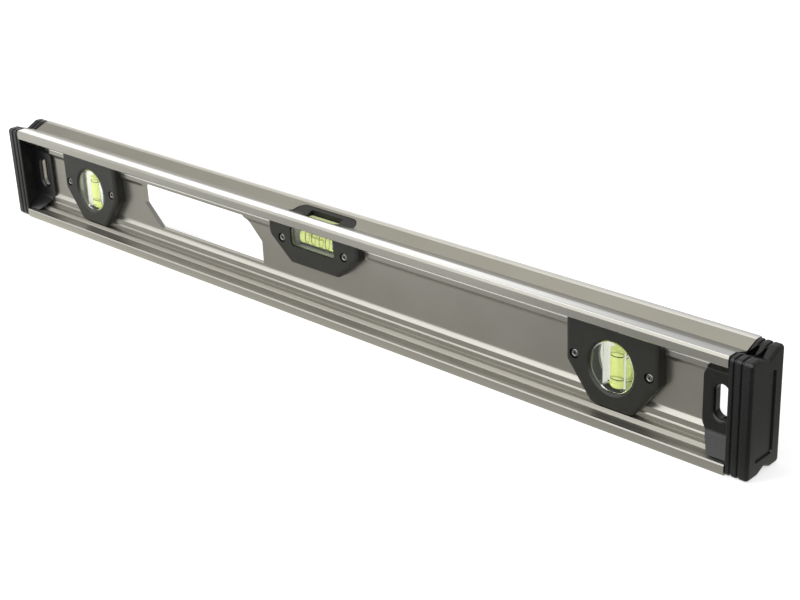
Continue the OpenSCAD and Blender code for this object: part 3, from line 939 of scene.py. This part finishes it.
def centre_liquid(name):
    """Liquid that lies along X, and the bubble on top of it as a piece of its own."""
    profile = bowl(LIQUID_R, LIQUID_END, LIQUID_END)
    profile += [(LIQUID_R, along) for along in CENTRE_WALL] + [(0.0, CENTRE_WALL[-1])]
    bm = lathe(profile, (CENTRE_X + CENTRE_VIAL_START, 0, CENTRE_VIAL_Z), (1, 0, 0), steps=64)
    obj = piece(name + "_fill", bm, LIQUID_LOOK, [name])
    shade(obj, VIAL_SHARP)
    r, end = BUBBLE["r"], BUBBLE["end"]
    profile = bowl(r, end, end) + bowl(r, end, BUBBLE["last"], 90, 180)
    place = (CENTRE_X + BUBBLE["start"], 0, CENTRE_VIAL_Z + BUBBLE["rise"])
    bm = lathe(profile, place, (1, 0, 0), steps=40)
    obj = piece("centre_bubble", bm, BUBBLE_LOOK)
    shade(obj, BUBBLE_SHARP)


for unit, ux in END_UNITS.items():
    end_block(unit + "_vial_block", ux)
    end_liquid(unit + "_vial_liquid", ux)
centre_block("centre_vial_block")
centre_liquid("centre_vial_liquid")


def rounded(corners, inset=0.0, steps=8):
    """The closed outline of a polygon moved inwards, every corner turned with its radius."""
    n = len(corners)
    pts = [Vector(c[:2]) for c in corners]
    area = sum(pts[i].x * pts[(i + 1) % n].y - pts[(i + 1) % n].x * pts[i].y for i in range(n))
    turn = 1 if area > 0 else -1
    lines = []
    for i in range(n):
        d = (pts[(i + 1) % n] - pts[i]).normalized()
        lines.append((pts[i] + Vector((-d.y, d.x)) * turn * inset, d))
    out = []
    for i in range(n):
        (p, d), (q, e) = lines[i - 1], lines[i]
        cross = d.x * e.y - d.y * e.x
        corner = p + d * (((q - p).x * e.y - (q - p).y * e.x) / cross)
        bend = math.atan2(cross, d.dot(e))
        convex = bend * turn > 0
        r = max(corners[i][2] - inset, LEAST_ROUND) if convex else corners[i][2] + inset
        start = corner - d * r * math.tan(abs(bend) / 2)
        side = 1 if bend > 0 else -1
        centre = start + Vector((-d.y, d.x)) * side * r
        arm = start - centre
        for k in range(steps + 1):
            a = bend * k / steps
            out.append((
                centre.x + arm.x * math.cos(a) - arm.y * math.sin(a),
                centre.y + arm.x * math.sin(a) + arm.y * math.cos(a),
            ))
    return out


def cap_profile():
    """Distance along X and inset of the cap body: three bands with turned-over edges."""
    out = []
    last = len(BANDS) - 1
    for k, (a, b) in enumerate(BANDS):
        r, steps = (CAP_EDGE, 10) if k == last else (BAND_ROUND, 5)
        if k:
            out.append((a, BAND_DEPTH))
        out += [(a + BAND_ROUND * (1 - math.cos(t)), BAND_ROUND * (1 - math.sin(t))) for t in quarter(5)]
        out += [(b - r * (1 - math.sin(t)), r * (1 - math.cos(t))) for t in quarter(steps)]
        if k < last:
            out.append((b, BAND_DEPTH))
    return out


def cap_skin(s, corners, layers):
    """A skin over the outline of corners at each (distance from the beam's end, inset)."""
    return stack([
        [Vector((s * (CAP_X + x), y, z)) * MM for y, z in rounded(corners, inset)]
        for x, inset in layers
    ])


def cap_body(s):
    """The banded body with a bare recessed panel in its end face."""
    w, h, z, r = PANEL["half_w"], PANEL["half_h"], PANEL["z"], PANEL["r"]
    rim = [(-w, z - h, r), (w, z - h, r), (w, z + h, r), (-w, z + h, r)]
    return carve(cap_skin(s, CAP_CORNERS, cap_profile()), [cap_skin(s, rim, PANEL_LAYERS)])


def slot_skin(s, layers, steps=20):
    """A skin over the hang slot's outline at each (growth, y)."""
    straight = (SLOT["h"] - SLOT["w"]) / 2
    loops = []
    for grow, y in layers:
        r = SLOT["w"] / 2 + grow
        loop = []
        for side, a0 in ((1, 0), (-1, 180)):
            for i in range(steps + 1):
                a = math.radians(a0 + 180 * i / steps)
                x, z = SLOT["x"] + r * math.cos(a), SLOT["z"] + side * straight + r * math.sin(a)
                loop.append(Vector((s * x, y, z)) * MM)
        loops.append(loop)
    return stack(loops)


def cheek_plates(s):
    """Plates on both sides of the web, with flared feet that follow the beam's section."""
    x0, x1 = CAP_X - CHEEK_LEN, CAP_X + CHEEK_TUCK
    lower = [(x0 + x, z, r) for x, z, r in CHEEK_CORNER]
    upper = [(x, BEAM_H - z, r) for x, z, r in lower]
    ends = [(x1, CHEEK_FOOT_Z, CHEEK_END_R), (x1, BEAM_H - CHEEK_FOOT_Z, CHEEK_END_R)]
    front = ends[:1] + lower[::-1] + upper + ends[1:]
    bm = prism(rounded(CHEEK_ACROSS), s * x0, s * x1, "X")
    bm = carve(bm, [prism([(s * x, z) for x, z in rounded(front)], -FAR, FAR)], "INTERSECT")
    return carve(bm, [prism(section_points(GAP / 3), s * (x0 - SEAT_LEAD), s * (x1 - SEAT_STOP), "X")])


def collar(s):
    """The half collar that seats the cheeks in the web, on the slot's side that faces the middle."""
    x0, x1 = sorted((s * SLOT["x"], s * CAP_X))
    ring = slot_skin(s, [(COLLAR, -COLLAR_Y), (COLLAR, COLLAR_Y)])
    inside = slot_skin(s, [(0.0, -COLLAR_CUT_Y), (0.0, COLLAR_CUT_Y)])
    y, low, high = COLLAR_HALF["y"], COLLAR_HALF["low"], COLLAR_HALF["high"]
    return carve(ring, [inside, box((x0, -y, low), (x1, y, high))])


def cap_cheeks(s):
    """The cheeks with the hang slot and its rounded mouths, and the collar."""
    mouths = [
        slot_skin(s, [(grow, side * (CHEEK_FACE_Y - depth)) for grow, depth in MOUTH]) for side in (-1, 1)
    ]
    through = slot_skin(s, [(0.0, -THROUGH_Y), (0.0, THROUGH_Y)])
    return join([carve(cheek_plates(s), [*mouths, through]), collar(s)])


def softened(bm):
    """The mesh with a small radius on its sharp edges."""
    part = scratch(bm)
    soften(part, CAP_RADIUS)
    bake_modifiers(part)
    out = bmesh.new()
    out.from_mesh(part.data)
    drop(part)
    return out


for side_name, s in (("left", -1), ("right", 1)):
    bm = join([softened(cap_body(s)), softened(cap_cheeks(s))])
    obj = piece(side_name + "_cap_body", bm, CAP_LOOK, [side_name + "_end_cap"])
    shade(obj, SHELL_SHARP)
    weigh_normals(obj)


def smooth_group(degrees):
    """Geometry nodes that shade smooth and keep edges sharper than the given angle."""
    tree = bpy.data.node_groups.new("shade by angle", "GeometryNodeTree")
    for in_out in ("INPUT", "OUTPUT"):
        tree.interface.new_socket("Geometry", in_out=in_out, socket_type="NodeSocketGeometry")
    n, link = tree.nodes, tree.links
    start, end = n.new("NodeGroupInput"), n.new("NodeGroupOutput")
    bare = n.new("GeometryNodeRemoveAttribute")
    bare.inputs["Name"].default_value = "custom_normal"
    faces = n.new("GeometryNodeSetShadeSmooth")
    edges = n.new("GeometryNodeSetShadeSmooth")
    faces.domain, edges.domain = "FACE", "EDGE"
    angle = n.new("GeometryNodeInputMeshEdgeAngle")
    less = n.new("FunctionNodeCompare")
    less.operation = "LESS_THAN"
    less.inputs["B"].default_value = math.radians(degrees)
    link.new(angle.outputs[0], less.inputs["A"])
    link.new(start.outputs[0], bare.inputs[0])
    link.new(bare.outputs[0], faces.inputs[0])
    link.new(faces.outputs[0], edges.inputs[0])
    link.new(less.outputs[0], edges.inputs["Shade Smooth"])
    link.new(edges.outputs[0], end.inputs[0])
    return tree


SMOOTH = smooth_group(NODE_SHARP)


def dress(name, material, radius=0.0):
    """Give a CAD node that keeps its own shape its finish, and a small edge radius if it has one."""
    obj = NODES[name]
    obj.data.materials.clear()
    obj.data.materials.append(material)
    weld = obj.modifiers.new("weld", "WELD")
    weld.merge_threshold = WELD
    if radius:
        flat = obj.modifiers.new("flat faces", "DECIMATE")
        flat.decimate_type = "DISSOLVE"
        flat.angle_limit = math.radians(0.6)
        soften(obj, radius, degrees=NODE_SOFT_ANGLE)
    group = obj.modifiers.new("shade by angle", "NODES")
    group.node_group = SMOOTH
    weigh_normals(obj)


dress("beam", BEAM_LOOK, BEAM_RADIUS)
dress("top_window", INSERT_LOOK, INSERT_RADIUS)
for unit in ("left", "centre", "right"):
    dress(unit + "_vial_rings", INK_LOOK)
    dress(unit + "_vial_plug", PLUG_LOOK)


# The camera as fitted to the photograph: its place, in millimetres, its axes and its lens.
CAMERA_PLACE = (646.297, -597.362, 397.011)
CAMERA_RIGHT = (0.728058, 0.684231, -0.041942)
CAMERA_DOWN = (0.250348, -0.322344, -0.912919)
CAMERA_AHEAD = (-0.638167, 0.654158, -0.405981)
LENS = 70.987
SENSOR = 36.0

# The studio, in metres. Directions point from the part to the light.
FLOOR_Z = -0.0002
FLOOR_HALF = 6.0
FLOOR_GLOW = 0.62
PLAIN_LIGHT = 0.5
UP = (0, 0, 1)
FRONT = (0, -1, 0)
SOFT_BOX_EDGE = (0.3, 0, 1)
SOFT_BOX_LEVEL = 2.1
SIDE_SHEET = (-0.72, 0.64, 0.20)
OVERHEAD = (-0.3, 0.35, 0.88)
WARM_SIDE = (-0.72, 0.2, 0.66)


def floor_sheet(m):
    """What metal sees in the floor: a graded sheet, bright to the left and dim past the right end."""
    x, y, _ = m.axes()
    along = m.math("ADD", m.ramp(x, 0.6, 0.42, -0.1, 0.35), m.ramp(x, 0.42, 0.0, -0.45, -0.15))
    along = m.math("ADD", along, m.ramp(x, 0.0, -0.22, 0.295, 0.325))
    # It is brighter from the beam's front edge backwards, and again from 13 cm in front of it,
    # there most at the middle.
    swell = m.math("ADD", m.ramp(x, 0.9, 2.6, -0.2, 0.0), m.ramp(x, 0.0, -2.2, 0.03, 0.14))
    front = m.math("MULTIPLY", m.ramp(y, 0.5, 0.0, -0.13, -0.08), swell)
    near = m.math("ADD", m.ramp(y, 0.0, 0.6, -0.029, -0.022), front)
    level = m.math("MULTIPLY", along, m.math("ADD", near, 1.0))
    warm = m.mix(m.ramp(y, 0.0, 1.0, -0.1, -0.06), rgb(1.0, 1.0, 0.985), rgb(1.0, 0.985, 0.92))
    return m.shine("ShaderNodeEmission", warm, level)


def make_floor():
    """A pale floor that is white to the camera, keeps the shadow, and reflects as the graded sheet."""
    bm = bmesh.new()
    bmesh.ops.create_grid(bm, x_segments=1, y_segments=1, size=FLOOR_HALF)
    mesh = bpy.data.meshes.new("floor")
    bm.to_mesh(mesh)
    bm.free()
    obj = link_object("floor", mesh)
    obj.location.z = FLOOR_Z
    m = Look("floor")
    m.set(Base_Color=rgb(0.9, 0.9, 0.9), Roughness=1.0, Specular_IOR_Level=0.0)
    rays = m.rays()
    seen = m.math("MAXIMUM", rays["Is Camera Ray"], rays["Is Transmission Ray"])
    pale = m.nodes.new("ShaderNodeAddShader")
    m.links.new(m.bsdf.outputs[0], pale.inputs[0])
    m.links.new(m.shine("ShaderNodeEmission", WHITE, m.math("MULTIPLY", seen, FLOOR_GLOW)), pale.inputs[1])
    m.links.new(m.pick(rays["Is Glossy Ray"], pale.outputs[0], floor_sheet(m)), m.out.inputs["Surface"])
    mesh.materials.append(m.mat)


def make_world():
    """An even world for plain light, white to the camera and through glass, a room to glossy rays."""
    world = bpy.data.worlds.new("studio")
    bpy.context.scene.world = world
    world.use_nodes = True
    world.node_tree.nodes.clear()
    w = Graph(world.node_tree)
    ray = w.nodes.new("ShaderNodeTexCoord").outputs["Generated"]

    def lobe(direction, lo, hi, gain):
        """Light that rises to gain as the ray leans from lo to hi towards the direction."""
        lean = w.nodes.new("ShaderNodeVectorMath")
        lean.operation = "DOT_PRODUCT"
        lean.inputs[1].default_value = Vector(direction).normalized()
        w.links.new(ray, lean.inputs[0])
        level = w.ramp(lean.outputs["Value"], 0.0, gain, lo, hi)
        level.node.interpolation_type = "SMOOTHSTEP"
        return level

    # The room: an even upper half, a soft box in front, a sheet behind the left end, a light overhead.
    total = lobe(UP, -0.05, 0.1, 0.58)
    lit = lobe(SOFT_BOX_EDGE, -0.06, 0.17, 1.0)
    soft_box = w.math("MULTIPLY", lit, lobe(FRONT, 0.05, 0.3, SOFT_BOX_LEVEL))
    for part in (soft_box, lobe(SIDE_SHEET, 0.945, 1.0, 1.05), lobe(OVERHEAD, 0.80, 0.97, 0.55)):
        total = w.math("ADD", total, part)
    # Its light from the upper left is a little warm.
    tint = w.mix(lobe(WARM_SIDE, 0.82, 0.95, 1.0), WHITE, rgb(1, 0.97, 0.89))
    scale = w.nodes.new("ShaderNodeVectorMath")
    scale.operation = "SCALE"
    w.links.new(tint, scale.inputs[0])
    w.links.new(total, scale.inputs["Scale"])

    plain = w.shine("ShaderNodeBackground", WHITE, PLAIN_LIGHT)
    room = w.shine("ShaderNodeBackground", scale.outputs[0], 1.0)
    white = w.shine("ShaderNodeBackground", WHITE, 1.0)
    rays = w.rays()
    look = w.pick(rays["Is Glossy Ray"], plain, room)
    look = w.pick(rays["Is Transmission Ray"], look, white)
    look = w.pick(rays["Is Camera Ray"], look, white)
    w.links.new(look, w.nodes.new("ShaderNodeOutputWorld").inputs[0])


def make_lamp(name, place, aim, size, watts):
    """A soft lamp that neither the camera nor a reflection sees."""
    data = bpy.data.lights.new(name, "AREA")
    data.shape = "RECTANGLE"
    data.size, data.size_y = size
    data.energy = watts
    obj = link_object(name, data)
    obj.location = place
    obj.rotation_euler = (Vector(aim) - Vector(place)).to_track_quat("-Z", "Y").to_euler()
    obj.visible_camera = False
    obj.visible_glossy = False


def make_camera():
    """The photograph's camera."""
    data = bpy.data.cameras.new("camera")
    data.sensor_width = SENSOR
    data.lens = LENS
    data.clip_start, data.clip_end = 0.01, 50
    cam = link_object("camera", data)
    right, down, ahead = Vector(CAMERA_RIGHT), Vector(CAMERA_DOWN), Vector(CAMERA_AHEAD)
    turn = Matrix((right, -down, -ahead)).transposed()
    cam.matrix_world = Matrix.Translation(Vector(CAMERA_PLACE) * MM) @ turn.to_4x4()
    bpy.context.scene.camera = cam


make_floor()
make_world()
make_lamp("key", place=(-1.0, -1.2, 1.5), aim=(0, 0, 0.03), size=(1.4, 1.4), watts=26.0)
make_camera()

view = bpy.context.scene.view_settings
view.view_transform = "Standard"
